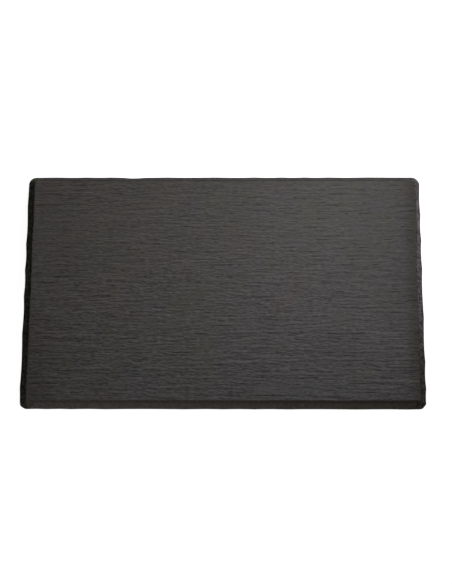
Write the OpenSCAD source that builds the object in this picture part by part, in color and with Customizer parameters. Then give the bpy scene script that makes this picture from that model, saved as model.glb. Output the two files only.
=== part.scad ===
// Slate-look serving tray moulded in black melamine, standing on four bonded non-slip feet.
// The origin is on the table under the middle of the tray. X runs along the tray,
// Y runs from the front edge to the rear edge, and Z is up. Sizes are in millimetres.

/* [Tray] */
// Length of the tray at its widest line
tray_length = 530; // [250:1:650]
// Depth of the tray at its widest line
tray_depth = 325; // [160:1:450]
// Height of the moulding, from its lower edge to the serving face
tray_height = 11; // [9:0.5:30]
// Radius of the corners at the widest line
corner_radius = 10.5; // [10:0.5:40]
// Thickness of the serving plate
plate_thickness = 4; // [2.5:0.5:6]

/* [Slate edge] */
// Plan width of the sloped edge, from the widest line to the serving face
edge_width = 8.4; // [7.5:0.1:9.5]
// Plan width of the steep brow under the serving face
brow_width = 1.8; // [0.6:0.1:3]
// Drop of the steep brow below the serving face
brow_drop = 5.5; // [2:0.1:6.5]
// Height of the upright lip, from the lower edge to the widest line
lip_height = 1.5; // [0.5:0.1:2]
// Plan width of the chamfer under the lip
lip_chamfer = 0.6; // [0.2:0.1:1.5]

/* [Chipping] */
// Number of chips round the edge
chip_count = 37; // [12:1:48]
// Depth of the chips along the two short sides
chip_depth_short = 0.9; // [0.1:0.05:1.5]
// Depth of the chips along the two long sides
chip_depth_long = 0.35; // [0.1:0.05:1.5]
// How unevenly the chips are spaced
chip_drift = 0.45; // [0:0.05:0.6]
// Distance of the rear notch's middle from the tray's middle, towards the left
notch_offset = 121; // [40:1:200]
// Length of the rear notch
notch_length = 36; // [15:1:60]
// Depth of the rear notch
notch_depth = 1.3; // [0.2:0.1:2]

/* [Underside] */
// Plan distance from the widest line to the hollow, at the lower edge
landing_inset = 6; // [4:0.5:9]
// Plan width of the hollow's sloped wall
hollow_slope = 7; // [4:0.5:12]
// Least radius of the hollow's corners
hollow_radius = 6; // [4:0.5:20]

/* [Feet] */
// Diameter of a foot
foot_diameter = 16; // [10:0.5:24]
// How far a foot stands below the tray's lower edge
foot_stand_off = 1.5; // [0.5:0.1:4]
// Distance of a foot's middle from the tray's short sides
foot_inset_x = 38; // [34:1:80]
// Distance of a foot's middle from the tray's long sides
foot_inset_y = 38; // [34:1:70]
// Radius of a foot's lower rim
foot_rim_radius = 0.8; // [0.2:0.1:1.2]
// Distance of the grip groove's middle from a foot's side
grip_groove_inset = 3.5; // [2:0.1:4]
// Width and depth of the grip groove
grip_groove_size = 0.7; // [0.3:0.1:1]
// Depth of the moulded socket that a foot sits in
socket_depth = 2; // [1:0.1:2.5]
// Clearance round a foot in its socket
socket_clearance = 0.15; // [0.05:0.05:0.5]
// Wall of the boss round a socket
boss_wall = 3; // [2:0.25:5]
// How far a boss stops above the tray's lower edge
boss_recess = 1; // [0.2:0.1:1.5]
// How far the adhesive disc that holds a foot stays inside the foot's side
adhesive_margin = 1; // [0.5:0.1:3]
// Thickness of the adhesive disc
adhesive_thickness = 0.3; // [0.1:0.05:0.6]

/* [Hidden] */
$fn = 64;

// Heights above the table
lower_edge_z = foot_stand_off;
widest_z = lower_edge_z + lip_height;
serving_z = lower_edge_z + tray_height;
ledge_z = serving_z - brow_drop;
hollow_top_z = serving_z - plate_thickness;
boss_z = lower_edge_z + boss_recess;
socket_top_z = boss_z + socket_depth;
foot_top_z = socket_top_z - adhesive_thickness;

// Steps round a ring: enough along the sides to draw every chip, and a few on each corner
steps_per_chip = 6;
corner_steps = 8;
side_steps = chip_count * steps_per_chip / 2;
long_steps = round(side_steps * tray_length / (tray_length + tray_depth));
short_steps = round(side_steps * tray_depth / (tray_length + tray_depth));
ring_size = 2 * (long_steps + short_steps) + 4 * corner_steps;

// The chips fade from the widest line up to the serving face
ledge_chip_share = 0.8;
brow_chip_share = 0.45;
// Each line of chips has its own phase, so that the ridges between chips wander
widest_phase = 20;
ledge_phase = 75;
brow_phase = 140;
// Waves round the tray that make the spacing of the chips uneven
slow_waves = 3;
quick_waves = 7;
// A point belongs to the rear side where its outward Y is above this
rear_facing = 0.99;

foot_x = tray_length / 2 - foot_inset_x;
foot_y = tray_depth / 2 - foot_inset_y;
socket_radius = foot_diameter / 2 + socket_clearance;
boss_radius = socket_radius + boss_wall;
// A boss runs up to the middle of the plate, so that the two are one moulding
boss_top_z = hollow_top_z + plate_thickness / 2;

melamine_colour = "#3d3b3a";
silicone_colour = "#1c1c1d";
adhesive_colour = "#d8d6cf";

// One ring of the moulding in plan: a rounded rectangle, front side first, counter-clockwise.
// Each item is [x, y, outward x, outward y].
function ring_plan(inset, radius) =
    let (
        half_x = tray_length / 2 - inset - radius,
        half_y = tray_depth / 2 - inset - radius,
        centres = [[-half_x, -half_y], [half_x, -half_y], [half_x, half_y], [-half_x, half_y]]
    )
    [for (side = [0:3]) each
        let (
            start = centres[side],
            end = centres[(side + 1) % 4],
            facing = 90 * side - 90,
            steps = side % 2 == 0 ? long_steps : short_steps
        )
        concat(
            [for (i = [0:steps - 1]) ring_point(start + (end - start) * i / steps, facing, radius)],
            [for (i = [0:corner_steps - 1]) ring_point(end, facing + 90 * i / corner_steps, radius)]
        )
    ];

function ring_point(centre, angle, radius) =
    let (outward = [cos(angle), sin(angle)])
    concat(centre + radius * outward, outward);

// Share of the full chip depth at a place round the ring, 0 on the ridge between two chips
function chip_share(turn, phase) =
    let (
        slow = sin(360 * slow_waves * turn + phase),
        quick = sin(360 * quick_waves * turn - phase)
    )
    abs(sin(180 * (chip_count * turn + chip_drift * (slow + quick)) + phase));

// Depth of the notch in the rear side, a smooth hollow
function notch_bite(x, outward_y) =
    let (from_middle = (x + notch_offset) / (notch_length / 2))
    outward_y > rear_facing && abs(from_middle) < 1 ? notch_depth * pow(1 - from_middle * from_middle, 2) : 0;

// One chipped ring of the moulding in space
function chipped_ring(inset, z, phase, share) =
    let (plan = ring_plan(inset, corner_radius - inset))
    [for (i = [0:ring_size - 1])
        let (
            p = plan[i],
            depth = chip_depth_short * p[2] * p[2] + chip_depth_long * p[3] * p[3],
            bite = share * (depth * chip_share(i / ring_size, phase) + notch_bite(p[0], p[3]))
        )
        [p[0] - bite * p[2], p[1] - bite * p[3], z]
    ];

// One plain ring of the hollow in space. Its corners follow the tray's, down to the least radius.
function hollow_ring(inset, z) =
    let (plan = ring_plan(inset, max(corner_radius - inset, hollow_radius)))
    [for (p = plan) [p[0], p[1], z]];

// Triangles between ring number a and the next one
function band(a) =
    [for (i = [0:ring_size - 1]) each
        let (
            j = (i + 1) % ring_size,
            p = a * ring_size + i,
            q = a * ring_size + j,
            r = p + ring_size,
            s = q + ring_size
        )
        [[p, s, q], [p, r, s]]
    ];

// Triangles that close ring number a to one middle point, facing up or down
function cap(a, middle, facing_up) =
    [for (i = [0:ring_size - 1])
        let (p = a * ring_size + i, q = a * ring_size + (i + 1) % ring_size)
        facing_up ? [middle, q, p] : [middle, p, q]
    ];

// The moulded shell, from the hollow's roof down its wall, then up the slate edge to the serving face
module shell() {
    rings = [
        hollow_ring(landing_inset + hollow_slope, hollow_top_z),
        hollow_ring(landing_inset, lower_edge_z),
        chipped_ring(lip_chamfer, lower_edge_z, widest_phase, 1),
        chipped_ring(0, widest_z, widest_phase, 1),
        chipped_ring(edge_width - brow_width, ledge_z, ledge_phase, ledge_chip_share),
        chipped_ring(edge_width, serving_z, brow_phase, brow_chip_share)
    ];
    last = len(rings) - 1;
    middle = len(rings) * ring_size;
    polyhedron(
        points = [for (r = rings) each r, [0, 0, hollow_top_z], [0, 0, serving_z]],
        faces = [
            each cap(0, middle, false),
            for (a = [0:last - 1]) each band(a),
            each cap(last, middle + 1, true)
        ]
    );
}

module at_feet() {
    for (x = [-foot_x, foot_x], y = [-foot_y, foot_y]) translate([x, y, 0]) children();
}

module tray_body() {
    color(melamine_colour)
    difference() {
        union() {
            shell();
            at_feet()
                translate([0, 0, boss_z])
                cylinder(r = boss_radius, h = boss_top_z - boss_z);
        }
        at_feet()
            translate([0, 0, lower_edge_z])
            cylinder(r = socket_radius, h = socket_top_z - lower_edge_z);
    }
}

// A silicone button with a rounded lower rim and a grip groove in its sole
module foot(x, y) {
    radius = foot_diameter / 2;
    color(silicone_colour)
    translate([x, y, 0])
    rotate_extrude()
    difference() {
        union() {
            square([radius - foot_rim_radius, foot_top_z]);
            translate([0, foot_rim_radius])
                square([radius, foot_top_z - foot_rim_radius]);
            translate([radius - foot_rim_radius, foot_rim_radius])
                circle(r = foot_rim_radius);
        }
        translate([radius - grip_groove_inset, 0])
            square([grip_groove_size, 2 * grip_groove_size], center = true);
    }
}

// The disc of adhesive between a foot and the roof of its socket
module adhesive(x, y) {
    color(adhesive_colour)
    translate([x, y, foot_top_z])
    cylinder(r = foot_diameter / 2 - adhesive_margin, h = adhesive_thickness);
}

tray_body();
foot(-foot_x, -foot_y);  // front_left_foot
foot(foot_x, -foot_y);  // front_right_foot
foot(foot_x, foot_y);  // rear_right_foot
foot(-foot_x, foot_y);  // rear_left_foot
adhesive(-foot_x, -foot_y);  // front_left_adhesive
adhesive(foot_x, -foot_y);  // front_right_adhesive
adhesive(foot_x, foot_y);  // rear_right_adhesive
adhesive(-foot_x, foot_y);  // rear_left_adhesive
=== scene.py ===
"""Looks of a slate-look melamine serving tray, built around its solids.

The tray body is one closed moulding: a riven serving face, a chipped slate edge and a hollow
underside with a boss at each corner. A silicone foot sits in each boss, held by a disc of adhesive.
Sizes are in metres, in the frame of the solids.
"""

import logging
import math
from collections.abc import Mapping, Sequence
from dataclasses import dataclass, field, fields
from enum import Enum
from typing import Any

import bpy
import numpy as np
from mathutils import Matrix, Vector
from mathutils.geometry import delaunay_2d_cdt


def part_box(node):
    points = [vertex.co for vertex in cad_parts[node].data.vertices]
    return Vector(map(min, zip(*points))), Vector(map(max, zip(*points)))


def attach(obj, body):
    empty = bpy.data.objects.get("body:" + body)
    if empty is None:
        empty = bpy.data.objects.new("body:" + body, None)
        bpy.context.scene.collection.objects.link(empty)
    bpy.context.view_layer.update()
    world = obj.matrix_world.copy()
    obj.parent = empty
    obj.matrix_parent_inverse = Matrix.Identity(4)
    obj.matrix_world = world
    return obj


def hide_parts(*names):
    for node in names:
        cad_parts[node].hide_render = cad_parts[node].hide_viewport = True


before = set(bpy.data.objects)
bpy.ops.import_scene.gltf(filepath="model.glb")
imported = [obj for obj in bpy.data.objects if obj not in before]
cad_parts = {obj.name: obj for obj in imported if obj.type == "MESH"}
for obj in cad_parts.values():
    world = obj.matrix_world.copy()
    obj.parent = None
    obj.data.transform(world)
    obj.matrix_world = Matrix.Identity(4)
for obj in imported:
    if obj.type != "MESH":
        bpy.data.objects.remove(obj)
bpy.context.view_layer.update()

Span = tuple[float, float]
Colour = tuple[float, float, float]
Socket = bpy.types.NodeSocket
Value = Socket | float | tuple[float, ...]
Given = bpy.types.NodeOutputs

MM = 0.001
BODY = "root"
WHITE: Colour = (1.0, 1.0, 1.0)

# Spans of a share, of a share that runs both ways, and of most values of a noise
WHOLE: Span = (0.0, 1.0)
BOTH_WAYS: Span = (-1.0, 1.0)
COMMON: Span = (0.3, 0.7)

# Corners of a square, counter-clockwise from the front left, and the turn at each in degrees
SQUARE = ((-1, -1), (1, -1), (1, 1), (-1, 1))
CORNER_TURN = 90

# How far the middle of a rounding lies from its corner, as a share of its reach
ROUND_MIDDLE = 0.29

# Settings of the triangulation: it keeps only what lies inside, and merges points this close
INSIDE_ONLY = 1
MERGE_DISTANCE = 1e-9
# A triangle with its middle within this share of a boss's outermost ring belongs to the boss
BOSS_SHARE = 0.999

log = logging.getLogger("tray")


class Slot(Enum):
    """Names of the record's material slots; no piece here is given one."""

    MELAMINE = "melamine"
    SILICONE = "silicone"


class Corner(Enum):
    """Corners of the tray, as the solids name them."""

    FRONT_LEFT = "front_left"
    FRONT_RIGHT = "front_right"
    REAR_RIGHT = "rear_right"
    REAR_LEFT = "rear_left"

    @property
    def foot_node(self) -> str:
        """Name of the foot's solid at this corner."""
        return f"{self.value}_foot"

    @property
    def adhesive_node(self) -> str:
        """Name of the adhesive's solid at this corner."""
        return f"{self.value}_adhesive"


class Surface(Enum):
    """Kinds of surface on the moulding, each with its own finish."""

    RIVEN = "Riven finish"
    HEWN = "Hewn finish"
    MOULDED = "Moulded finish"


class Weight(Enum):
    """Point attributes of the moulding that say which texture a point carries."""

    FACE = "riven_face"
    EDGE = "hewn_edge"
    RELIEF = "relief"
    BUSY = "busy"


class NodeGraph:
    """A node tree under construction, with short calls that add and join nodes."""

    def __init__(self, tree: bpy.types.NodeTree) -> None:
        """Takes a tree and empties it."""
        self.tree = tree
        tree.nodes.clear()

    def add(self, kind: str, sockets: Mapping[str | int, Value], **settings: Any) -> bpy.types.Node:
        """Adds one node.

        Args:
            kind: Blender's name for the type of node.
            sockets: what goes into the node's inputs, by their name or number.
            settings: the node's own properties.

        Returns:
            The new node.
        """
        node = self.tree.nodes.new(kind)
        for name, value in settings.items():
            setattr(node, name, value)
        for key, value in sockets.items():
            socket = node.inputs[key]
            if isinstance(value, Socket):
                self.tree.links.new(value, socket)
            else:
                socket.default_value = (*value, 1.0) if socket.type == "RGBA" else value
        return node

    def math(self, operation: str, *terms: Value) -> Socket:
        """Adds a Math node and returns its result."""
        return self.add("ShaderNodeMath", dict(enumerate(terms)), operation=operation).outputs[0]

    def vector(self, operation: str, *terms: Value) -> Socket:
        """Adds a Vector Math node and returns its vector."""
        return self.add("ShaderNodeVectorMath", dict(enumerate(terms)), operation=operation).outputs[0]

    def combine(self, x: Value, y: Value, z: Value) -> Socket:
        """Joins three numbers into a vector."""
        return self.add("ShaderNodeCombineXYZ", {0: x, 1: y, 2: z}).outputs[0]

    def separate(self, vector: Socket) -> Sequence[Socket]:
        """Splits a vector into its three numbers."""
        return self.add("ShaderNodeSeparateXYZ", {0: vector}).outputs

    def place(self) -> Socket:
        """Reads a place on the piece in a material."""
        return self.add("ShaderNodeTexCoord", {}).outputs["Object"]

    def attribute(self, weight: Weight) -> Socket:
        """Reads a point attribute in a material, as a number."""
        return self.add("ShaderNodeAttribute", {}, attribute_name=weight.value).outputs["Fac"]

    def noise(self, vector: Socket, detail: float = 2.0, roughness: float = 0.5) -> Socket:
        """Adds a fractal noise of scale 1, from 0 to 1, and returns its value."""
        sockets = {"Vector": vector, "Scale": 1.0, "Detail": detail, "Roughness": roughness}
        return self.add("ShaderNodeTexNoise", sockets).outputs[0]

    def grain(self, place: Socket, size: float, **texture: float) -> Socket:
        """Adds a fractal noise whose largest waves have a size."""
        return self.noise(self.vector("MULTIPLY", place, (1 / size,) * 3), **texture)

    def swing(self, vector: Socket, detail: float = 2.0) -> Socket:
        """Adds a fractal noise about zero, from -0.5 to 0.5."""
        return self.math("SUBTRACT", self.noise(vector, detail), 0.5)

    def spot(self, x: Socket, y: Socket, size: tuple[Value, Value], layer: Value) -> Socket:
        """Finds a place in one layer of a noise that is drawn out to a length and a width."""
        length, width = size
        return self.combine(self.math("DIVIDE", x, length), self.math("DIVIDE", y, width), layer)

    def remap(self, value: Socket, span: Span, low: Value = 0.0, high: Value = 1.0) -> Socket:
        """Maps a span of values to another, smoothly, without passing its ends."""
        sockets = {0: value, 1: span[0], 2: span[1], 3: low, 4: high}
        return self.add("ShaderNodeMapRange", sockets, interpolation_type="SMOOTHSTEP").outputs[0]

    def blend(self, share: Value, first: Value, second: Value) -> Socket:
        """Mixes two colours by the share of the second one."""
        sockets = {0: share, 6: first, 7: second}
        return self.add("ShaderNodeMix", sockets, data_type="RGBA").outputs[2]

    def scale(self, colour: Socket, share: Socket) -> Socket:
        """Multiplies a colour by a number."""
        node = self.add("ShaderNodeVectorMath", {0: colour, "Scale": share}, operation="SCALE")
        return node.outputs[0]

    def bump(self, height: Socket, distance: float = 1.0, strength: float = 1.0) -> Socket:
        """Turns heights into a normal."""
        sockets = {"Height": height, "Distance": distance, "Strength": strength}
        return self.add("ShaderNodeBump", sockets).outputs[0]

    def above(self, value: Socket, least: Socket) -> Socket:
        """Tests in geometry nodes whether a number is above a least value."""
        node = self.add("FunctionNodeCompare", {0: value, 1: least}, operation="GREATER_THAN")
        return node.outputs[0]


def new_material(name: str) -> tuple[bpy.types.Material, NodeGraph]:
    """Makes an empty node material.

    Args:
        name: the material's name.

    Returns:
        The material, and the graph of its nodes.
    """
    material = bpy.data.materials.new(name)
    material.use_nodes = True
    return material, NodeGraph(material.node_tree)


def finished(
    material: bpy.types.Material, graph: NodeGraph, sockets: Mapping[str | int, Value]
) -> bpy.types.Material:
    """Ends a material's nodes in one principled shader.

    Args:
        material: the material.
        graph: the graph of its nodes.
        sockets: what goes into the shader's inputs.

    Returns:
        The material.
    """
    shader = graph.add("ShaderNodeBsdfPrincipled", sockets)
    graph.add("ShaderNodeOutputMaterial", {"Surface": shader.outputs[0]})
    return material


def new_object(name: str, mesh: bpy.types.Mesh) -> bpy.types.Object:
    """Puts a mesh into the scene.

    Args:
        name: the object's name.
        mesh: its mesh.

    Returns:
        The object, at the origin.
    """
    piece = bpy.data.objects.new(name, mesh)
    bpy.context.scene.collection.objects.link(piece)
    return piece


@dataclass(frozen=True)
class Sway:
    """The slow bending of the slate's grain, which the relief and the finish share."""

    length: float = 34 * MM
    width: float = 12 * MM
    height: float = 4 * MM
    layer: float = 3.7

    def bent(self, graph: NodeGraph, x: Socket, y: Socket) -> Socket:
        """Y of a place after the bending."""
        rise = graph.swing(graph.spot(x, y, (self.length, self.width), self.layer))
        return graph.math("MULTIPLY_ADD", rise, self.height, y)


@dataclass(frozen=True)
class RivenFinish:
    """The serving face: satin melamine with a grey bloom, fine strokes and long clefts with painted
    shade.

    The bloom has soft patches of three tints. Painted shade darkens it along the right rim and in
    the front left corner, and painted light makes it paler towards the front right.
    """

    sway: Sway = Sway()
    olive_tint: Colour = (0.0489, 0.0473, 0.0416)
    violet_tint: Colour = (0.0500, 0.0470, 0.0488)
    brown_tint: Colour = (0.0545, 0.0469, 0.0432)
    # Painted shade: the darker colour that the face is blended to along its right rim
    painted_rim_shade: Colour = (0.0350, 0.0318, 0.0255)
    tint_size: float = 44 * MM
    brown_size: float = 60 * MM
    violet_span: Span = (0.35, 0.7)
    brown_span: Span = (0.52, 0.82)
    tint_drift: float = 0.6
    margin_width: float = 21 * MM
    # Painted shade at the front left of the face and painted light at its front right
    front_left_shade: float = 0.79
    front_right_shade: float = 1.16
    front_span: Span = (-140 * MM, 40 * MM)
    left_reach: Span = (0 * MM, 60 * MM)
    right_reach: Span = (55 * MM, 90 * MM)
    # Painted light and shade of the swells: paler where the relief rises, darker where it sinks
    swell_shade: float = 0.3
    stroke_length: float = 6.2 * MM
    stroke_width: float = 2.2 * MM
    stroke_depth: float = 0.45 * MM
    stroke_shade: float = 0.8
    cleft_spacing: float = 6 * MM
    cleft_wander: float = 0.5
    cleft_length: float = 20 * MM
    cleft_row_step: float = 7.7
    cleft_span: Span = (0.52, 0.62)
    cleft_half_width: float = 1.1 * MM
    cleft_depth: float = 0.2 * MM
    # Painted shade in the clefts
    cleft_shade: float = 0.54
    roughness: float = 0.64
    roughness_spread: float = 0.10
    gloss: float = 0.2

    def material(self, right_rim: float) -> bpy.types.Material:
        """Builds the material, which reads the height of the moulded relief and how busy it is.

        Args:
            right_rim: X of the face's right rim.

        Returns:
            The material.
        """
        material, graph = new_material("melamine_riven")
        place = graph.place()
        x, y, _ = graph.separate(place)
        bent = self.sway.bent(graph, x, y)
        stroke = graph.math("MULTIPLY", self._strokes(graph, x, bent), graph.attribute(Weight.BUSY))
        cleft = self._clefts(graph, x, bent)

        # Swells and strokes are painted paler where they rise and darker where they sink, partly the
        # grain's own tone and partly painted light and shade of the relief; the clefts get painted
        # shade
        shade = graph.math("MULTIPLY_ADD", graph.attribute(Weight.RELIEF), self.swell_shade, 1.0)
        shade = graph.math("MULTIPLY_ADD", stroke, self.stroke_shade, shade)
        shade = graph.math("MULTIPLY_ADD", cleft, -self.cleft_shade, shade)
        # Painted light and shade at the front of the face
        shade = graph.math("MULTIPLY", shade, self._front_shade(graph, x, y, right_rim))
        # Painted shade: the face turns to a darker colour over the last stretch before its right rim
        margin = graph.remap(x, (right_rim - self.margin_width, right_rim))
        tint = graph.blend(margin, self._tint(graph, place), self.painted_rim_shade)
        rise = graph.math("MULTIPLY", stroke, self.stroke_depth)
        height = graph.math("MULTIPLY_ADD", cleft, -self.cleft_depth, rise)
        return finished(material, graph, {
            "Base Color": graph.scale(tint, shade),
            "Roughness": graph.math("MULTIPLY_ADD", stroke, -self.roughness_spread, self.roughness),
            "Normal": graph.bump(height),
            "Specular IOR Level": self.gloss,
        })

    def _front_shade(self, graph: NodeGraph, x: Socket, y: Socket, right_rim: float) -> Socket:
        """Painted light and shade at the front of the face: darker at its left end, paler at its right.

        Args:
            graph: the material's nodes.
            x: X of a place.
            y: Y of a place.
            right_rim: X of the face's right rim.

        Returns:
            A number to multiply the colour by.
        """
        from_left = graph.math("ADD", x, right_rim)
        from_right = graph.math("SUBTRACT", right_rim, x)
        left = graph.remap(from_left, self.left_reach, self.front_left_shade)
        right = graph.remap(from_right, self.right_reach, self.front_right_shade)
        return graph.remap(y, self.front_span, graph.math("MULTIPLY", left, right))

    def _tint(self, graph: NodeGraph, place: Socket) -> Socket:
        """Colour of the bloom.

        Args:
            graph: the material's nodes.
            place: a place on the face.

        Returns:
            The colour there.
        """
        x, y, _ = graph.separate(place)
        drift = graph.math("MULTIPLY", graph.math("SUBTRACT", x, y), self.tint_drift)
        fine = graph.grain(place, self.tint_size)
        broad = graph.grain(place, self.brown_size)
        violet = graph.remap(graph.math("ADD", fine, drift), self.violet_span)
        brown = graph.remap(graph.math("SUBTRACT", broad, drift), self.brown_span)
        tint = graph.blend(violet, self.olive_tint, self.violet_tint)
        return graph.blend(brown, tint, self.brown_tint)

    def _strokes(self, graph: NodeGraph, x: Socket, bent: Socket) -> Socket:
        """Height of the fine strokes at a place, about zero."""
        spot = graph.spot(x, bent, (self.stroke_length, self.stroke_width), 0.0)
        return graph.swing(spot, detail=1.2)

    def _clefts(self, graph: NodeGraph, x: Socket, bent: Socket) -> Socket:
        """Clefts in rows along the tray, each row broken into lengths.

        Args:
            graph: the material's nodes.
            x: X of a place.
            bent: its Y after the bending of the grain.

        Returns:
            How far the place lies inside a cleft, from 0 to 1.
        """
        row = graph.math("DIVIDE", bent, self.cleft_spacing)
        number = graph.math("FLOOR", row)
        chance = graph.add("ShaderNodeTexWhiteNoise", {"W": number}, noise_dimensions="1D")
        first = (1 - self.cleft_wander) / 2
        middle = graph.math("MULTIPLY_ADD", chance.outputs["Value"], self.cleft_wander, first)
        away = graph.math("ABSOLUTE", graph.math("SUBTRACT", graph.math("FRACT", row), middle))
        groove = graph.remap(away, (0.0, self.cleft_half_width / self.cleft_spacing), 1.0, 0.0)
        along = graph.math("DIVIDE", x, self.cleft_length)
        across = graph.math("MULTIPLY", number, self.cleft_row_step)
        length = graph.remap(graph.noise(graph.combine(along, across, 0.0)), self.cleft_span)
        return graph.math("MULTIPLY", groove, length)


@dataclass(frozen=True)
class SideTintAndShade:
    """A tint with painted light and shade along one side of the slate edge, from one end to the other.
    """

    low: Colour
    high: Colour
    span: Span

    def at(self, graph: NodeGraph, along: Socket) -> Socket:
        """The tint and painted shade at a place along the side."""
        return graph.blend(graph.remap(along, self.span), self.low, self.high)


@dataclass(frozen=True)
class HewnFinish:
    """The slate edge: matt melamine, paler where the facets are worn, with chips and small pits.

    The chips are deepest on the short sides, and are painted paler and darker as painted shade
    of their relief. The edge is tinted brown in front, nearly grey at the rear, olive on the left
    and violet on the right. Painted shade darkens it along the short sides towards the front, along
    the front towards the right and at the rear, and painted light makes the front's left end paler.
    Its brow has painted shade over its ledge, except at the front of the short sides.
    """

    colour: Colour = (0.0532, 0.0468, 0.0415)
    worn_colour: Colour = (0.0648, 0.0568, 0.0505)
    # Tints with painted shade towards the front of the short sides, towards the right of the front and
    # at the rear, and painted light at the left end of the front
    left: SideTintAndShade = SideTintAndShade((0.71, 0.77, 0.75), (1.0, 1.22, 1.0), (-60 * MM, 90 * MM))
    right: SideTintAndShade = SideTintAndShade((0.67, 0.69, 0.69), (0.99, 1.01, 1.18), (-115 * MM, -50 * MM))
    front: SideTintAndShade = SideTintAndShade((1.16, 1.21, 1.22), (0.86, 0.79, 0.74), (-256 * MM, 256 * MM))
    rear_tint: Colour = (0.74, 0.82, 0.88)
    side_blend: float = 14 * MM
    # Painted shade on the brow over the ledge
    painted_brow_shade: float = 0.7
    brow_span: Span = (1.0 * MM, 2.4 * MM)
    chip_size: float = 3.7 * MM
    chip_span: Span = (0.25, 0.75)
    chip_depth: float = 0.15 * MM
    # Painted light and shade of the chips: lower chips darker, higher ones paler
    chip_shade: float = 0.57
    long_side_chips: float = 0.2
    mottle_size: float = 5 * MM
    worn_span: Span = (0.35, 0.65)
    pit_size: float = 0.9 * MM
    pit_depth: float = 0.10 * MM
    roughness: Span = (0.6, 0.8)
    gloss: float = 0.0

    def material(self, ledge_z: float, right_rim: float) -> bpy.types.Material:
        """Builds the material.

        Args:
            ledge_z: height of the ledge, over which the brow gets painted shade.
            right_rim: X of the face's right rim, past which the finish is that of a short side.

        Returns:
            The material.
        """
        material, graph = new_material("melamine_hewn")
        place = graph.place()
        x, y, z = graph.separate(place)
        side_span = (right_rim - self.side_blend, right_rim)
        short_side = graph.remap(graph.math("ABSOLUTE", x), side_span)
        right_side = graph.remap(x, side_span)
        low, high = self.brow_span
        # Painted shade on the brow, faded out at the front of the short sides
        brow = graph.remap(z, (ledge_z + low, ledge_z + high), 1.0, self.painted_brow_shade)
        short_side_painted_brow_shade = graph.remap(y, self.right.span, 1.0, brow)
        chips = self._chips(graph, place, short_side)

        mottle = graph.grain(place, self.mottle_size, detail=4.0, roughness=0.6)
        colour = graph.blend(graph.remap(mottle, self.worn_span), self.colour, self.worn_colour)
        # The side tints carry painted light and shade
        tinted_and_shaded = graph.vector("MULTIPLY", colour, self._tint(graph, place, short_side, right_side))
        # Painted light and shade of the chips, from their height
        shade = graph.math("MULTIPLY_ADD", chips, self.chip_shade, 1.0)
        shade = graph.math("MULTIPLY", shade, graph.remap(short_side, WHOLE, brow, short_side_painted_brow_shade))
        pits = graph.math("MULTIPLY", graph.grain(place, self.pit_size), self.pit_depth)
        return finished(material, graph, {
            "Base Color": graph.scale(tinted_and_shaded, shade),
            "Roughness": graph.remap(mottle, COMMON, *self.roughness),
            "Normal": graph.bump(graph.math("MULTIPLY_ADD", chips, self.chip_depth, pits)),
            "Specular IOR Level": self.gloss,
        })

    def _chips(self, graph: NodeGraph, place: Socket, short_side: Socket) -> Socket:
        """Height of the chips.

        Args:
            graph: the material's nodes.
            place: a place on the edge.
            short_side: how far it belongs to a short side, from 0 to 1.

        Returns:
            The height there, about zero.
        """
        rough = graph.grain(place, self.chip_size, detail=1.0)
        strength = graph.remap(short_side, WHOLE, self.long_side_chips)
        return graph.math("MULTIPLY", graph.remap(rough, self.chip_span, -1.0, 1.0), strength)

    def _tint(self, graph: NodeGraph, place: Socket, short_side: Socket, right_side: Socket) -> Socket:
        """What the four sides multiply the finish by: tints with painted light and shade.

        Args:
            graph: the material's nodes.
            place: a place on the edge.
            short_side: how far it belongs to a short side, from 0 to 1.
            right_side: how far it belongs to the right side, from 0 to 1.

        Returns:
            The tint and painted shade there, as a colour.
        """
        x, y, _ = graph.separate(place)
        rear = graph.remap(y, (-self.side_blend, self.side_blend))
        long_side_tint_and_shade = graph.blend(rear, self.front.at(graph, x), self.rear_tint)
        short_side_tint_and_shade = graph.blend(right_side, self.left.at(graph, y), self.right.at(graph, y))
        return graph.blend(short_side, long_side_tint_and_shade, short_side_tint_and_shade)


@dataclass(frozen=True)
class MouldedFinish:
    """The underside: smooth moulded melamine with a faint orange peel and flow marks."""

    colour: Colour = (0.022, 0.0215, 0.021)
    flow_colour: Colour = (0.028, 0.0272, 0.0265)
    flow_size: float = 45 * MM
    flow_span: Span = (0.35, 0.65)
    peel_size: float = 1.6 * MM
    peel_depth: float = 0.03 * MM
    roughness: Span = (0.30, 0.42)
    gloss: float = 0.5

    def material(self) -> bpy.types.Material:
        """Builds the material.

        Returns:
            The material.
        """
        material, graph = new_material("melamine_moulded")
        place = graph.place()
        flow = graph.grain(place, self.flow_size, detail=3.0)
        peel = graph.grain(place, self.peel_size, detail=1.0)
        return finished(material, graph, {
            "Base Color": graph.blend(graph.remap(flow, self.flow_span), self.colour, self.flow_colour),
            "Roughness": graph.remap(flow, COMMON, *self.roughness),
            "Normal": graph.bump(peel, self.peel_depth),
            "Specular IOR Level": self.gloss,
        })


@dataclass(frozen=True)
class SiliconeFinish:
    """Matt black silicone with a little dust in its pores."""

    colour: Colour = (0.012, 0.012, 0.013)
    dust_colour: Colour = (0.035, 0.034, 0.033)
    dust_size: float = 1.5 * MM
    dust_span: Span = (0.5, 0.8)
    pore_size: float = 0.25 * MM
    pore_depth: float = 0.03 * MM
    pore_strength: float = 0.5
    roughness: Span = (0.5, 0.75)
    sheen: float = 0.15

    def material(self) -> bpy.types.Material:
        """Builds the material.

        Returns:
            The material.
        """
        material, graph = new_material("silicone")
        place = graph.place()
        dust = graph.grain(place, self.dust_size, detail=4.0, roughness=0.6)
        pores = graph.grain(place, self.pore_size)
        return finished(material, graph, {
            "Base Color": graph.blend(graph.remap(dust, self.dust_span), self.colour, self.dust_colour),
            "Roughness": graph.remap(dust, COMMON, *self.roughness),
            "Normal": graph.bump(pores, self.pore_depth, self.pore_strength),
            "Sheen Weight": self.sheen,
        })


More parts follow.
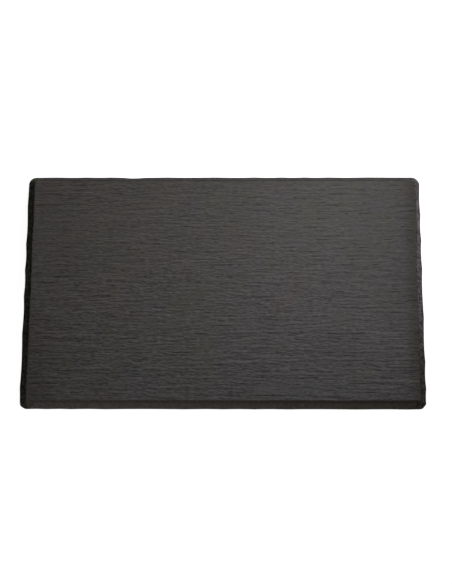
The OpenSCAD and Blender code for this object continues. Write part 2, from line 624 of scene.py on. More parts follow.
@dataclass(frozen=True)
class AdhesiveFinish:
    """Pale, cloudy double-sided adhesive."""

    colour: Colour = (0.69, 0.67, 0.62)
    cloud_colour: Colour = (0.60, 0.57, 0.50)
    cloud_size: float = 3 * MM
    roughness: Span = (0.45, 0.65)

    def material(self) -> bpy.types.Material:
        """Builds the material.

        Returns:
            The material.
        """
        material, graph = new_material("adhesive")
        cloud = graph.grain(graph.place(), self.cloud_size, detail=3.0)
        return finished(material, graph, {
            "Base Color": graph.blend(cloud, self.colour, self.cloud_colour),
            "Roughness": graph.remap(cloud, COMMON, *self.roughness),
        })


@dataclass(frozen=True)
class FloorFinish:
    """A pale studio floor that is white to the eye and keeps the tray's shadow."""

    colour: Colour = (0.45, 0.45, 0.45)
    glow: float = 0.9

    def material(self) -> bpy.types.Material:
        """Builds the material, whose glow shows only to the camera and in reflections.

        Returns:
            The material.
        """
        material, graph = new_material("studio_floor")
        rays = graph.add("ShaderNodeLightPath", {}).outputs
        mirrored = graph.math("MAXIMUM", rays["Is Glossy Ray"], rays["Is Transmission Ray"])
        seen = graph.math("MAXIMUM", rays["Is Camera Ray"], mirrored)
        strength = graph.math("MULTIPLY", seen, self.glow)
        glow = graph.add("ShaderNodeEmission", {"Color": WHITE, "Strength": strength})
        paint = graph.add("ShaderNodeBsdfDiffuse", {"Color": self.colour})
        both = graph.add("ShaderNodeAddShader", {0: paint.outputs[0], 1: glow.outputs[0]})
        graph.add("ShaderNodeOutputMaterial", {"Surface": both.outputs[0]})
        return material


@dataclass(frozen=True)
class SlateTexture:
    """The rule that rives the serving face and hews the edge, as a tree of geometry nodes.

    The face gets low swells and long streaks that sway together. The edge gets the scooped
    facets that chipping leaves.
    """

    sway: Sway = Sway()
    swell_length: float = 11 * MM
    swell_width: float = 2.8 * MM
    swell_height: float = 0.68 * MM
    streak_length: float = 44 * MM
    streak_width: float = 3.6 * MM
    streak_height: float = 0.6 * MM
    sink: float = 0.25 * MM
    patch_size: float = 40 * MM
    patch_least: float = 0.85
    patch_most: float = 1.15
    busy_left: float = 1.3
    busy_right: float = 1.14
    busy_front: float = 1.4
    busy_rear: float = 0.88
    half_length: float = 265 * MM
    half_depth: float = 162 * MM
    facet_size: float = 9 * MM
    facet_smoothness: float = 0.15
    facet_level: float = 0.55
    facet_depth: float = 0.45 * MM
    seed: float = 14.7
    seed_step: float = 11.0
    least_face: float = 0.75
    least_edge: float = 0.05

    def tree(self) -> bpy.types.GeometryNodeTree:
        """Builds the tree, with one named input for each size and for each finish.

        Returns:
            The tree.
        """
        tree = bpy.data.node_groups.new("slate_texture", "GeometryNodeTree")
        graph = NodeGraph(tree)
        tree.interface.new_socket("Geometry", in_out="INPUT", socket_type="NodeSocketGeometry")
        for name in self.sizes():
            tree.interface.new_socket(name, in_out="INPUT", socket_type="NodeSocketFloat")
        for part in Surface:
            tree.interface.new_socket(part.value, in_out="INPUT", socket_type="NodeSocketMaterial")
        tree.interface.new_socket("Geometry", in_out="OUTPUT", socket_type="NodeSocketGeometry")
        given = graph.add("NodeGroupInput", {}).outputs
        place = graph.add("GeometryNodeInputPosition", {}).outputs[0]

        busy = self._busy(graph, given, place)
        relief = self._relief(graph, given, place, busy)
        face = self._weight(graph, Weight.FACE)
        rise = graph.combine(0.0, 0.0, graph.math("MULTIPLY", relief, face))
        edge = self._weight(graph, Weight.EDGE)
        scoop = graph.math("MULTIPLY", self._facets(graph, given, place), edge)
        normal = graph.add("GeometryNodeInputNormal", {}).outputs[0]
        carve = graph.vector("MULTIPLY", normal, graph.combine(scoop, scoop, scoop))

        swell = graph.math("DIVIDE", graph.math("ADD", relief, given["sink"]), given["swell_height"])
        noted = given["Geometry"]
        for weight, value in ((Weight.RELIEF, swell), (Weight.BUSY, busy)):
            noted = graph.add("GeometryNodeStoreNamedAttribute", {
                "Geometry": noted,
                "Name": weight.value,
                "Value": value,
            }, data_type="FLOAT", domain="POINT").outputs[0]
        moved = graph.add("GeometryNodeSetPosition", {
            "Geometry": noted,
            "Offset": graph.vector("ADD", rise, carve),
        })
        real = graph.add("GeometryNodeRealizeInstances", {"Geometry": moved.outputs[0]})
        dressed = graph.add("GeometryNodeSetMaterial", {
            "Geometry": real.outputs[0],
            "Material": given[Surface.MOULDED.value],
        }).outputs[0]
        for part, share, least in (
            (Surface.HEWN, edge, "least_edge"),
            (Surface.RIVEN, face, "least_face"),
        ):
            dressed = graph.add("GeometryNodeSetMaterial", {
                "Geometry": dressed,
                "Selection": graph.above(share, given[least]),
                "Material": given[part.value],
            }).outputs[0]
        graph.add("NodeGroupOutput", {"Geometry": dressed})
        return tree

    def sizes(self) -> dict[str, float]:
        """Every size of the texture by its name."""
        return {item.name: getattr(self, item.name) for item in fields(self) if item.type is float}

    def apply(self, piece: bpy.types.Object, finishes: Mapping[Surface, bpy.types.Material]) -> None:
        """Runs the tree on a piece and leaves the result as its plain mesh.

        Args:
            piece: the object whose mesh carries the weight attributes.
            finishes: the finish of each kind of surface.
        """
        tree = self.tree()
        modifier = piece.modifiers.new("slate_texture", "NODES")
        modifier.node_group = tree
        given = self.sizes() | {part.value: finish for part, finish in finishes.items()}
        for item in tree.interface.items_tree:
            if item.in_out == "INPUT" and item.name in given:
                modifier[item.identifier] = given[item.name]
        graph = bpy.context.evaluated_depsgraph_get()
        mesh = bpy.data.meshes.new_from_object(piece.evaluated_get(graph), depsgraph=graph)
        piece.modifiers.remove(modifier)
        piece.data = mesh
        mesh.name = piece.name

    @staticmethod
    def _weight(graph: NodeGraph, weight: Weight) -> Socket:
        """Reads a point attribute as a number."""
        node = graph.add("GeometryNodeInputNamedAttribute", {"Name": weight.value}, data_type="FLOAT")
        return node.outputs["Attribute"]

    def _busy(self, graph: NodeGraph, given: Given, place: Socket) -> Socket:
        """How busy the riving is: it grows towards the front and the left, in patches.

        Args:
            graph: the tree's nodes.
            given: the tree's inputs.
            place: a place on the face.

        Returns:
            A number to multiply the relief by.
        """
        x, y, _ = graph.separate(place)
        size = graph.combine(*[given["patch_size"]] * 3)
        patch = graph.noise(graph.vector("DIVIDE", place, size))
        busy = graph.remap(patch, COMMON, given["patch_least"], given["patch_most"])
        for along, reach, low, high in (
            (x, "half_length", "busy_left", "busy_right"),
            (y, "half_depth", "busy_front", "busy_rear"),
        ):
            share = graph.math("DIVIDE", along, given[reach])
            drift = graph.remap(share, BOTH_WAYS, given[low], given[high])
            busy = graph.math("MULTIPLY", busy, drift)
        return busy

    def _relief(self, graph: NodeGraph, given: Given, place: Socket, busy: Socket) -> Socket:
        """Height of the riven face over its plane.

        Args:
            graph: the tree's nodes.
            given: the tree's inputs.
            place: a place on the face.
            busy: how busy the riving is there.

        Returns:
            The height there.
        """
        x, y, _ = graph.separate(place)
        bent = self.sway.bent(graph, x, y)
        height = graph.math("MULTIPLY", given["sink"], -1.0)
        for number, name in enumerate(("swell", "streak")):
            size = (given[f"{name}_length"], given[f"{name}_width"])
            layer = graph.math("MULTIPLY_ADD", given["seed_step"], number, given["seed"])
            swing = graph.swing(graph.spot(x, bent, size, layer), detail=0.5)
            rise = graph.math("MULTIPLY", swing, busy)
            height = graph.math("MULTIPLY_ADD", rise, given[f"{name}_height"], height)
        return height

    def _facets(self, graph: NodeGraph, given: Given, place: Socket) -> Socket:
        """Depth of the scooped facets of the edge.

        Args:
            graph: the tree's nodes.
            given: the tree's inputs.
            place: a place on the edge.

        Returns:
            The depth there, along the normal.
        """
        cells = graph.add("ShaderNodeTexVoronoi", {
            "Vector": place,
            "Scale": graph.math("DIVIDE", 1.0, given["facet_size"]),
            "Smoothness": given["facet_smoothness"],
        }, feature="SMOOTH_F1")
        rise = graph.math("SUBTRACT", cells.outputs["Distance"], given["facet_level"])
        return graph.math("MULTIPLY", rise, given["facet_depth"])


@dataclass(frozen=True)
class EdgeLoop:
    """Places round the tray's edge, counter-clockwise from the front left.

    A place lies on a rounded rectangle. Its corner centre is kept as shares of the half length
    and half depth, so that the same place is found on any ring of the moulding.
    """

    span: np.ndarray
    outward: np.ndarray
    turn: np.ndarray

    @classmethod
    def around(
        cls, columns: int, rows: int, corner_rows: int, chipping: "Chipping", aspect: float
    ) -> "EdgeLoop":
        """Spaces the places along the four sides and round the corners.

        Args:
            columns: steps along a long side.
            rows: steps along a short side.
            corner_rows: steps round a corner.
            chipping: the chips, whose count sets the turn at each place.
            aspect: the tray's length over its depth.

        Returns:
            The loop.
        """
        centres = np.array(SQUARE, float)
        long_share, short_share, corner_share = chipping.turn_shares(aspect)
        span, outward, turn = [], [], []
        start = 0.0
        for side, (first, last) in enumerate(zip(centres, np.roll(centres, -1, 0))):
            count, share = (columns, long_share) if side % 2 == 0 else (rows, short_share)
            along = np.arange(count)[:, None] / count
            bend = np.arange(corner_rows) / corner_rows
            turned = np.concatenate([np.zeros(count), CORNER_TURN * bend])
            angle = np.radians(CORNER_TURN * (side - 1) + turned)
            span += [first + (last - first) * along, np.repeat(last[None], corner_rows, 0)]
            outward.append(np.stack([np.cos(angle), np.sin(angle)], 1))
            turn += [start + share * along[:, 0], start + share + corner_share * bend]
            start += share + corner_share
        return cls(np.concatenate(span), np.concatenate(outward), np.concatenate(turn))

    def plan(self, length: float, depth: float, inset: float, radius: float) -> np.ndarray:
        """Plan positions of the places on one ring.

        Args:
            length: the tray's length.
            depth: the tray's depth.
            inset: distance of the ring from the tray's widest line.
            radius: radius of the ring's corners.

        Returns:
            One position for each place.
        """
        half = np.array([length, depth]) / 2 - inset - radius
        return self.span * half + self.outward * radius


@dataclass(frozen=True)
class ChipLine:
    """One line of chips round the edge: its phase in degrees and its share of the full depth."""

    phase: float
    share: float


@dataclass(frozen=True)
class Chipping:
    """The chips that run round the slate edge, and the notch in its rear side."""

    count: int = 37
    depth_short: float = 0.9 * MM
    depth_long: float = 0.35 * MM
    drift: float = 0.45
    slow_waves: int = 3
    quick_waves: int = 7
    steps_per_chip: int = 6
    corner_steps: int = 8
    notch_offset: float = 121 * MM
    notch_length: float = 36 * MM
    notch_depth: float = 1.3 * MM
    rear_facing: float = 0.99

    def turn_shares(self, aspect: float) -> tuple[float, float, float]:
        """Shares of a full turn that a long side, a short side and a corner take.

        Args:
            aspect: the tray's length over its depth.

        Returns:
            The three shares.
        """
        side_steps = self.count * self.steps_per_chip / 2
        long_steps = round(side_steps * aspect / (aspect + 1))
        short_steps = round(side_steps / (aspect + 1))
        whole = 2 * (long_steps + short_steps) + len(SQUARE) * self.corner_steps
        return long_steps / whole, short_steps / whole, self.corner_steps / whole

    def bite(self, loop: EdgeLoop, x: np.ndarray, line: ChipLine) -> np.ndarray:
        """Depth of the chips and the notch at each place of a loop.

        Args:
            loop: the places.
            x: the places' positions along the tray.
            line: the line of chips that the loop carries.

        Returns:
            One depth for each place.
        """
        phase = math.radians(line.phase)
        slow = np.sin(2 * np.pi * self.slow_waves * loop.turn + phase)
        quick = np.sin(2 * np.pi * self.quick_waves * loop.turn - phase)
        number = self.count * loop.turn + self.drift * (slow + quick)
        chip = np.abs(np.sin(np.pi * number + phase))
        across, along = loop.outward[:, 0], loop.outward[:, 1]
        depth = self.depth_short * across**2 + self.depth_long * along**2
        from_middle = np.clip((x + self.notch_offset) / (self.notch_length / 2), -1, 1)
        notch = self.notch_depth * (1 - from_middle**2) ** 2 * (along > self.rear_facing)
        return line.share * (depth * chip + notch)


@dataclass
class MeshParts:
    """Points, faces and point weights of a mesh under construction."""

    points: list[np.ndarray] = field(default_factory=list)
    faces: list[list[int]] = field(default_factory=list)
    face_weight: list[np.ndarray] = field(default_factory=list)
    edge_weight: list[np.ndarray] = field(default_factory=list)
    size: int = 0

    def add_points(self, points: np.ndarray, face: float = 0.0, edge: float = 0.0) -> np.ndarray:
        """Adds points.

        Args:
            points: their positions.
            face: how far they carry the riven relief, from 0 to 1.
            edge: how far they carry the hewn facets, from 0 to 1.

        Returns:
            Their numbers.
        """
        count = len(points)
        self.points.append(points)
        self.face_weight.append(np.full(count, face))
        self.edge_weight.append(np.full(count, edge))
        self.size += count
        return np.arange(self.size - count, self.size)

    def add_band(self, first: np.ndarray, second: np.ndarray) -> None:
        """Joins two closed rings of as many points with four-sided faces."""
        ahead_first, ahead_second = np.roll(first, -1), np.roll(second, -1)
        self.faces += np.stack([first, second, ahead_second, ahead_first], 1).tolist()

    def add_fan(self, ring: np.ndarray, middle: Sequence[float]) -> None:
        """Closes a ring to one middle point.

        Args:
            ring: numbers of the ring's points.
            middle: position of the middle point.
        """
        number = int(self.add_points(np.array([middle]))[0])
        ahead = np.roll(ring, -1)
        self.faces += [[int(a), number, int(b)] for a, b in zip(ring, ahead)]

    def add_turned(
        self, centre: Vector, section: Sequence[tuple[float, float]], steps: int
    ) -> list[np.ndarray]:
        """Adds the bands of a shape that is turned about an upright axis.

        Args:
            centre: a point on the axis.
            section: radius and height of each ring.
            steps: points in a ring.

        Returns:
            Numbers of the points of each ring.
        """
        angle = np.linspace(0, 2 * np.pi, steps, endpoint=False)
        rings = []
        for radius, z in section:
            x = centre.x + radius * np.cos(angle)
            y = centre.y + radius * np.sin(angle)
            rings.append(self.add_points(np.stack([x, y, np.full(steps, z)], 1)))
        for first, second in zip(rings, rings[1:]):
            self.add_band(first, second)
        return rings

    def mesh(self, name: str) -> bpy.types.Mesh:
        """Makes the mesh, smooth, with its weights as point attributes.

        Args:
            name: the mesh's name.

        Returns:
            The mesh.
        """
        mesh = bpy.data.meshes.new(name)
        mesh.from_pydata(np.concatenate(self.points).tolist(), [], self.faces)
        for weight, parts in ((Weight.FACE, self.face_weight), (Weight.EDGE, self.edge_weight)):
            attribute = mesh.attributes.new(weight.value, "FLOAT", "POINT")
            attribute.data.foreach_set("value", np.concatenate(parts).astype(np.float32))
        mesh.polygons.foreach_set("use_smooth", np.ones(len(mesh.polygons), bool))
        mesh.update()
        return mesh


def rounded_corner(
    before: np.ndarray, corner: np.ndarray, after: np.ndarray, reach: float
) -> list[np.ndarray]:
    """Rounds the line between two bands of a section.

    Args:
        before: the ring before the corner.
        corner: the ring of the sharp corner.
        after: the ring after the corner.
        reach: how far the rounding runs from the corner, along each band.

    Returns:
        Three rings that replace the corner.
    """
    back = before - corner
    ahead = after - corner
    start = corner + back * reach / np.linalg.norm(back, axis=1, keepdims=True)
    end = corner + ahead * reach / np.linalg.norm(ahead, axis=1, keepdims=True)
    return [start, (start + 2 * corner + end) / 4, end]


@dataclass
class TrayBody:
    """The moulded tray: riven serving face, slate edge, hollow underside and bosses for the feet."""

    riven: RivenFinish = RivenFinish()
    hewn: HewnFinish = HewnFinish()
    moulded: MouldedFinish = MouldedFinish()
    texture: SlateTexture = SlateTexture()
    chipping: Chipping = Chipping()
    brow_line: ChipLine = ChipLine(140, 0.45)
    ledge_line: ChipLine = ChipLine(75, 0.8)
    widest_line: ChipLine = ChipLine(20, 1.0)
    corner_radius: float = 10.5 * MM
    edge_width: float = 8.4 * MM
    brow_width: float = 1.8 * MM
    brow_drop: float = 5.5 * MM
    brow_drift: tuple[float, float] = (0.6 * MM, 0.5 * MM)
    brow_taper: float = 2.0 * MM
    taper_span: Span = (20 * MM, 110 * MM)
    lip_height: float = 1.5 * MM
    lip_chamfer: float = 0.6 * MM
    landing_inset: float = 6 * MM
    hollow_slope: float = 7 * MM
    hollow_radius: float = 6 * MM
    least_radius: float = 1.0 * MM
    plate_thickness: float = 4 * MM
    socket_clearance: float = 0.15 * MM
    socket_depth: float = 2 * MM
    boss_wall: float = 3 * MM
    boss_fillet: float = 1.2 * MM
    boss_chamfer: float = 0.4 * MM
    brow_round: float = 1.1 * MM
    ledge_round: float = 1.0 * MM
    lip_round: float = 0.35 * MM
    hollow_round: float = 1.2 * MM
    ceiling_margin: float = 3.6 * MM
    slope_steps: tuple[float, ...] = (0.35, 0.6, 0.82)
    rim_riving: float = 0.3
    rim_hewing: float = 0.2
    brow_top_hewing: float = 0.4
    brow_hewing: float = 0.5
    ledge_hewing: float = 0.6
    lip_hewing: float = 0.15
    columns: int = 132
    rows: int = 440
    corner_rows: int = 8
    boss_steps: int = 48

    def __post_init__(self) -> None:
        """Takes the tray's outer sizes from its solid and spaces the places round its edge."""
        low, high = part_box("tray_body")
        self.length, self.depth = high.x - low.x, high.y - low.y
        self.lower_z, self.serving_z = low.z, high.z
        self.ledge_z = self.serving_z - self.brow_drop
        self.hollow_z = self.serving_z - self.plate_thickness
        aspect = self.length / self.depth
        self.loop = EdgeLoop.around(self.columns, self.rows, self.corner_rows, self.chipping, aspect)

    def build(self) -> bpy.types.Object:
        """Builds the moulding as one closed mesh, textures it and puts it in its solid's place.

        Returns:
            The finished piece.
        """
        parts = MeshParts()
        rim = self._add_serving_face(parts)
        ceiling = self._add_edge_and_hollow(parts, rim)
        self._add_ceiling(parts, ceiling)
        piece = new_object("tray_moulding", parts.mesh("tray_moulding"))
        right_rim = self.length / 2 - self.edge_width
        self.texture.apply(piece, {
            Surface.RIVEN: self.riven.material(right_rim),
            Surface.HEWN: self.hewn.material(self.ledge_z, right_rim),
            Surface.MOULDED: self.moulded.material(),
        })
        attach(piece, BODY)
        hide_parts("tray_body")
        return piece

    def _outer_ring(self, inset: float, z: float, line: ChipLine) -> np.ndarray:
        """One chipped ring of the slate edge.

        Args:
            inset: distance from the widest line, in plan.
            z: height of the ring.
            line: the line of chips that it carries.

        Returns:
            The ring's points.
        """
        radius = max(self.corner_radius - inset, self.least_radius)
        plan = self.loop.plan(self.length, self.depth, inset, radius)
        bite = self.chipping.bite(self.loop, plan[:, 0], line)
        return np.column_stack([plan - bite[:, None] * self.loop.outward, np.full(len(plan), z)])

    def _brow_ring(self, inset: float) -> np.ndarray:
        """One ring of the serving face's rim, which lies a little off the middle of the tray."""
        ring = self._outer_ring(inset, self.serving_z, self.brow_line)
        return self._tapered(ring + np.array([*self.brow_drift, 0.0]))

    def _tapered(self, ring: np.ndarray) -> np.ndarray:
        """Moves a ring towards the right side at the rear, where the slope is narrower.

        Args:
            ring: the ring's points.

        Returns:
            The points after the move.
        """
        start, end = self.taper_span
        rear = np.clip((ring[:, 1] - start) / (end - start), 0, 1)
        right = np.clip(2 * ring[:, 0] / self.length, 0, 1)
        shift = self.brow_taper * right * rear**2 * (3 - 2 * rear)
        return ring + np.outer(shift, (1, 0, 0))

    def _hollow_ring(self, inset: float, z: float) -> np.ndarray:
        """One plain ring of the hollow, whose corners follow the tray's down to a least radius.

        Args:
            inset: distance from the widest line, in plan.
            z: height of the ring.

        Returns:
            The ring's points.
        """
        radius = max(self.corner_radius - inset, self.hollow_radius)
        plan = self.loop.plan(self.length, self.depth, inset, radius)
        return np.column_stack([plan, np.full(len(plan), z)])

    def _add_serving_face(self, parts: MeshParts) -> np.ndarray:
        """Adds the serving face as a grid that runs to the rounding of the brow.

        Args:
            parts: the mesh under construction.

        Returns:
            Numbers of the points round the grid's rim, in the loop's order.
        """
        rim = self._brow_ring(self.edge_width + self.brow_round)
        across, up = self.columns, self.rows + 2 * self.corner_rows
        front = rim[: across + 1]
        right = rim[across : across + up + 1]
        rear = rim[across + up : 2 * across + up + 1][::-1]
        left = np.concatenate([rim[2 * across + up :], rim[:1]])[::-1]
        u = np.linspace(0, 1, across + 1)[None, :, None]
        v = ((right[:, 1] - right[0, 1]) / (right[-1, 1] - right[0, 1]))[:, None, None]
        ruled = (1 - v) * front[None] + v * rear[None] + (1 - u) * left[:, None] + u * right[:, None]
        low_corners = (1 - u) * front[0] + u * front[-1]
        high_corners = (1 - u) * rear[0] + u * rear[-1]
        grid = ruled - (1 - v) * low_corners - v * high_corners
        number = parts.add_points(grid.reshape(-1, 3), face=1.0).reshape(up + 1, across + 1)
        cells = np.stack([number[:-1, :-1], number[:-1, 1:], number[1:, 1:], number[1:, :-1]], -1)
        parts.faces += cells.reshape(-1, 4).tolist()
        return np.concatenate([number[0, :-1], number[:-1, -1], number[-1, :0:-1], number[:0:-1, 0]])

    def _add_edge_and_hollow(self, parts: MeshParts, rim: np.ndarray) -> np.ndarray:
        """Adds the bands from the serving face round the slate edge and up into the hollow.

        Args:
            parts: the mesh under construction.
            rim: numbers of the points round the serving face.

        Returns:
            Numbers of the points of the last ring, on the hollow's ceiling.
        """
        top = self._brow_ring(self.edge_width + self.brow_round)
        brow = self._brow_ring(self.edge_width)
        ledge = self._outer_ring(self.edge_width - self.brow_width, self.ledge_z, self.ledge_line)
        ledge = self._tapered(ledge)
        widest = self._outer_ring(0, self.lower_z + self.lip_height, self.widest_line)
        lower = self._outer_ring(self.lip_chamfer, self.lower_z, self.widest_line)
        landing = self._hollow_ring(self.landing_inset, self.lower_z)
        roof_inset = self.landing_inset + self.hollow_slope
        roof = self._hollow_ring(roof_inset, self.hollow_z)
        inside = self._hollow_ring(roof_inset + self.ceiling_margin, self.hollow_z)

        _, brow_middle, brow_end = rounded_corner(top, brow, ledge, self.brow_round)
        slope = [ledge + (widest - ledge) * share for share in self.slope_steps]
        under = [
            *rounded_corner(widest, lower, landing, self.lip_round),
            *rounded_corner(lower, landing, roof, self.lip_round),
            *rounded_corner(landing, roof, inside, self.hollow_round),
            inside,
        ]
        last = rim
        for rings, riving, hewing in (
            ([brow_middle], self.rim_riving, self.rim_hewing),
            ([brow_end], 0.0, self.brow_top_hewing),
            ([(brow + ledge) / 2], 0.0, self.brow_hewing),
            (rounded_corner(brow, ledge, widest, self.ledge_round) + slope, 0.0, self.ledge_hewing),
            (rounded_corner(ledge, widest, lower, self.lip_round), 0.0, self.lip_hewing),
            (under, 0.0, 0.0),
        ):
            for ring in rings:
                number = parts.add_points(ring, riving, hewing)
                parts.add_band(last, number)
                last = number
        return last

    def _add_ceiling(self, parts: MeshParts, ceiling: np.ndarray) -> None:
        """Adds the hollow's flat ceiling and the bosses that stand on it.

        Args:
            parts: the mesh under construction.
            ceiling: numbers of the points round the ceiling.
        """
        centres = [sum(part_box(corner.foot_node), Vector()) / 2 for corner in Corner]
        feet = [self._add_boss(parts, corner, centre) for corner, centre in zip(Corner, centres)]
        outermost, _ = self._boss_section(Corner.FRONT_LEFT)[0]
        boss_reach = outermost * BOSS_SHARE
        numbers = np.concatenate([ceiling, *feet])
        flat = [Vector(point[:2]) for point in np.concatenate(parts.points)[numbers]]
        edges, start = [], 0
        for ring in (ceiling, *feet):
            count = len(ring)
            edges += [(start + i, start + (i + 1) % count) for i in range(count)]
            start += count
        _, _, cells, *_ = delaunay_2d_cdt(flat, edges, [], INSIDE_ONLY, MERGE_DISTANCE)
        for cell in cells:
            middle = sum((flat[i] for i in cell), Vector((0, 0))) / len(cell)
            if all((middle - centre.xy).length > boss_reach for centre in centres):
                parts.faces.append([int(numbers[i]) for i in reversed(cell)])

    def _boss_section(self, corner: Corner) -> list[tuple[float, float]]:
        """The section of a boss.

        Args:
            corner: which corner's boss it is.

        Returns:
            Radius and height of each ring, from the ceiling to the roof of its socket.
        """
        foot_low, foot_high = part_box(corner.foot_node)
        socket = (foot_high.x - foot_low.x) / 2 + self.socket_clearance
        outer = socket + self.boss_wall
        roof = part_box(corner.adhesive_node)[1].z
        face = roof - self.socket_depth
        fillet, chamfer = self.boss_fillet, self.boss_chamfer
        fillet_middle, chamfer_middle = ROUND_MIDDLE * fillet, ROUND_MIDDLE * chamfer
        return [
            (outer + 2 * fillet, self.hollow_z),
            (outer + fillet, self.hollow_z),
            (outer + fillet_middle, self.hollow_z - fillet_middle),
            (outer, self.hollow_z - fillet),
            (outer, face + chamfer),
            (outer - chamfer_middle, face + chamfer_middle),
            (outer - chamfer, face),
            (socket + chamfer, face),
            (socket + chamfer_middle, face + chamfer_middle),
            (socket, face + chamfer),
            (socket, roof - chamfer / 2),
            (socket - chamfer / 2, roof),
            (socket - 2 * chamfer, roof),
        ]

    def _add_boss(self, parts: MeshParts, corner: Corner, centre: Vector) -> np.ndarray:
        """Adds one boss with its socket.

        Args:
            parts: the mesh under construction.
            corner: which corner's boss it is.
            centre: the middle of the corner's foot.

        Returns:
            Numbers of the points of its outermost ring, on the ceiling.
        """
        section = self._boss_section(corner)
        rings = parts.add_turned(centre, section, self.boss_steps)
        _, roof = section[-1]
        parts.add_fan(rings[-1], (centre.x, centre.y, roof))
        return rings[0]


@dataclass
class Foot:
    """A silicone button with a rounded rim and a grip groove in its sole."""

    corner: Corner
    rim_radius: float = 0.8 * MM
    groove_inset: float = 3.5 * MM
    groove_size: float = 0.7 * MM
    groove_round: float = 0.15 * MM
    top_round: float = 0.2 * MM
    steps: int = 64
    rim_steps: int = 6

    def build(self, material: bpy.types.Material) -> bpy.types.Object:
        """Turns the button about its axis and puts it in its solid's place.

        Args:
            material: the finish that it wears.

        Returns:
            The finished piece.
        """
        low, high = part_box(self.corner.foot_node)
        centre = (low + high) / 2
        parts = MeshParts()
        section = self._section((high.x - low.x) / 2, low.z, high.z)
        rings = parts.add_turned(centre, section, self.steps)
        parts.add_fan(rings[-1], (centre.x, centre.y, low.z))
        parts.add_fan(rings[0][::-1], (centre.x, centre.y, high.z))
        name = f"{self.corner.value}_button"
        piece = new_object(name, parts.mesh(name))
        piece.data.materials.append(material)
        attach(piece, BODY)
        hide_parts(self.corner.foot_node)
        return piece

    def _section(self, radius: float, sole: float, top: float) -> list[tuple[float, float]]:
        """The section of the button.

        Args:
            radius: its radius.
            sole: height of its sole.
            top: height of its top face.

        Returns:
            Radius and height of each ring, from the top face round the rim to the sole.
        """
        half, soft = self.groove_size / 2, self.groove_round
        groove = radius - self.groove_inset
        roof = sole + self.groove_size
        top_middle = ROUND_MIDDLE * self.top_round
        angles = np.linspace(0, np.pi / 2, self.rim_steps + 1)
        rim_axis, rim_z = radius - self.rim_radius, sole + self.rim_radius
        rim = [
            (rim_axis + self.rim_radius * math.cos(angle), rim_z - self.rim_radius * math.sin(angle))
            for angle in angles
        ]
        return [
            (radius - 2 * self.top_round, top),
            (radius - self.top_round, top),
            (radius - top_middle, top - top_middle),
            (radius, top - self.top_round),
            *rim,
            (groove + half + 2 * soft, sole),
            (groove + half + soft, sole),
            (groove + half, sole + soft),
            (groove + half, roof - soft),
            (groove + half - soft, roof),
            (groove - half + soft, roof),
            (groove - half, roof - soft),
            (groove - half, sole + soft),
            (groove - half - soft, sole),
            (groove - half - 2 * soft, sole),
        ]


@dataclass
class AdhesiveDisc:
    """The disc that bonds a foot into its socket. It keeps the shape of its solid."""

    corner: Corner

    def dress(self, material: bpy.types.Material) -> bpy.types.Object:
        """Gives the disc its finish.

        Args:
            material: the finish that it wears.

        Returns:
            The finished piece.
        """
        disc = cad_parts[self.corner.adhesive_node]
        disc.data.materials.clear()
        disc.data.materials.append(material)
        return disc


@dataclass(frozen=True)
class Lamp:
    """A soft rectangular studio lamp."""

    name: str
    place: tuple[float, float, float]
    size: tuple[float, float]
    power: float
    aim: tuple[float, float, float] = (0.0, 0.0, 0.0)
    spread: float = 180.0

    def build(self) -> None:
        """Hangs the lamp and turns it to its aim."""
        light = bpy.data.lights.new(self.name, "AREA")
        light.shape = "RECTANGLE"
        light.size, light.size_y = self.size
        light.energy = self.power
        light.spread = math.radians(self.spread)
        lamp = bpy.data.objects.new(self.name, light)
        lamp.location = self.place
        away = Vector(self.place) - Vector(self.aim)
        lamp.rotation_euler = away.to_track_quat("Z", "Y").to_euler()
        lamp.visible_camera = False
        bpy.context.scene.collection.objects.link(lamp)


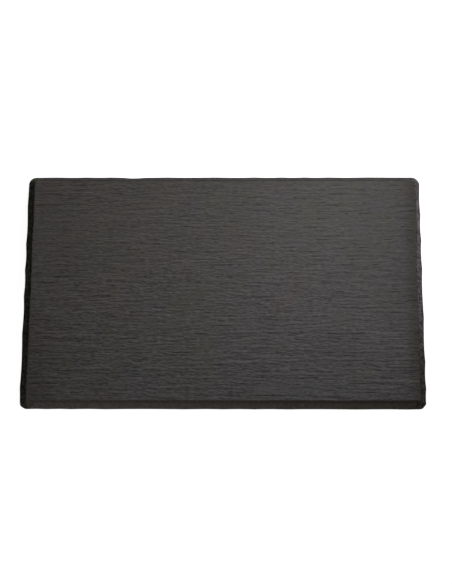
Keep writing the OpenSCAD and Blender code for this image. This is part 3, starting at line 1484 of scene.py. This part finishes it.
@dataclass(frozen=True)
class Studio:
    """The floor, lights and camera round the tray."""

    floor_reach: float = 30.0
    floor_finish: FloorFinish = FloorFinish()
    lamps: tuple[Lamp, ...] = (
        Lamp("key_strip", (0.41, 0.16, 0.38), (0.53, 0.04), 2.26, (-0.60, 0.13, 0.0), 117.0),
        Lamp("low_side", (0.90, 0.32, 0.14), (0.18, 0.06), 0.80, (0.30, 0.20, 0.0), 64.0),
        Lamp("front_fill", (-0.36, -1.40, 0.70), (0.36, 0.40), 8.1, (-0.20, 0.04, 0.0)),
        Lamp("rear_rake", (0.17, 1.40, 0.245), (0.49, 0.22), 13.4, (-0.06, 0.04, 0.0)),
    )
    world_strength: float = 0.02
    azimuth: float = 2.30
    elevation: float = 71.39
    distance: float = 2.290
    roll: float = -2.16
    target: tuple[float, float, float] = (3.72 * MM, -1.19 * MM, 1.5 * MM)
    focal_pixels: float = 1724.4
    image_height: float = 584.0
    sensor: float = 36.0

    def build(self) -> None:
        """Sets the whole studio up."""
        bpy.context.scene.view_settings.view_transform = "Standard"
        self._add_floor()
        for lamp in self.lamps:
            lamp.build()
        self._add_world()
        self._add_camera()

    def _add_floor(self) -> None:
        """Lays the floor under the feet."""
        corners = [(x * self.floor_reach, y * self.floor_reach, 0.0) for x, y in SQUARE]
        mesh = bpy.data.meshes.new("studio_floor")
        mesh.from_pydata(corners, [], [range(len(SQUARE))])
        mesh.materials.append(self.floor_finish.material())
        new_object("studio_floor", mesh)

    def _add_world(self) -> None:
        """Fills the shadows with an even grey sky."""
        world = bpy.data.worlds.new("studio")
        world.use_nodes = True
        graph = NodeGraph(world.node_tree)
        sky = graph.add("ShaderNodeBackground", {"Color": WHITE, "Strength": self.world_strength})
        graph.add("ShaderNodeOutputWorld", {"Surface": sky.outputs[0]})
        bpy.context.scene.world = world

    def _add_camera(self) -> None:
        """Sets the camera high over the front of the tray, looking down at it."""
        lens = bpy.data.cameras.new("camera")
        lens.sensor_fit = "AUTO"
        lens.sensor_width = self.sensor
        lens.lens = self.focal_pixels / self.image_height * self.sensor
        camera = bpy.data.objects.new("camera", lens)
        around, above = math.radians(self.azimuth), math.radians(self.elevation)
        back = Vector((
            math.sin(around) * math.cos(above),
            -math.cos(around) * math.cos(above),
            math.sin(above),
        ))
        right = Vector((0, 0, 1)).cross(back).normalized()
        turned = Matrix((right, back.cross(right), back)).transposed().to_4x4()
        spot = Matrix.Translation(Vector(self.target) + back * self.distance)
        camera.matrix_world = spot @ turned @ Matrix.Rotation(math.radians(self.roll), 4, "Z")
        bpy.context.scene.collection.objects.link(camera)
        bpy.context.scene.camera = camera


def main() -> None:
    """Builds the tray piece by piece, then the studio round it."""
    logging.basicConfig(level=logging.INFO, format="%(name)s: %(message)s")
    body = TrayBody().build()
    log.info("%s has %d faces", body.name, len(body.data.polygons))
    silicone, adhesive = SiliconeFinish().material(), AdhesiveFinish().material()
    for corner in Corner:
        foot = Foot(corner).build(silicone)
        log.info("%s has %d faces", foot.name, len(foot.data.polygons))
        disc = AdhesiveDisc(corner).dress(adhesive)
        log.info("%s is dressed", disc.name)
    Studio().build()


if __name__ == "__main__":
    main()
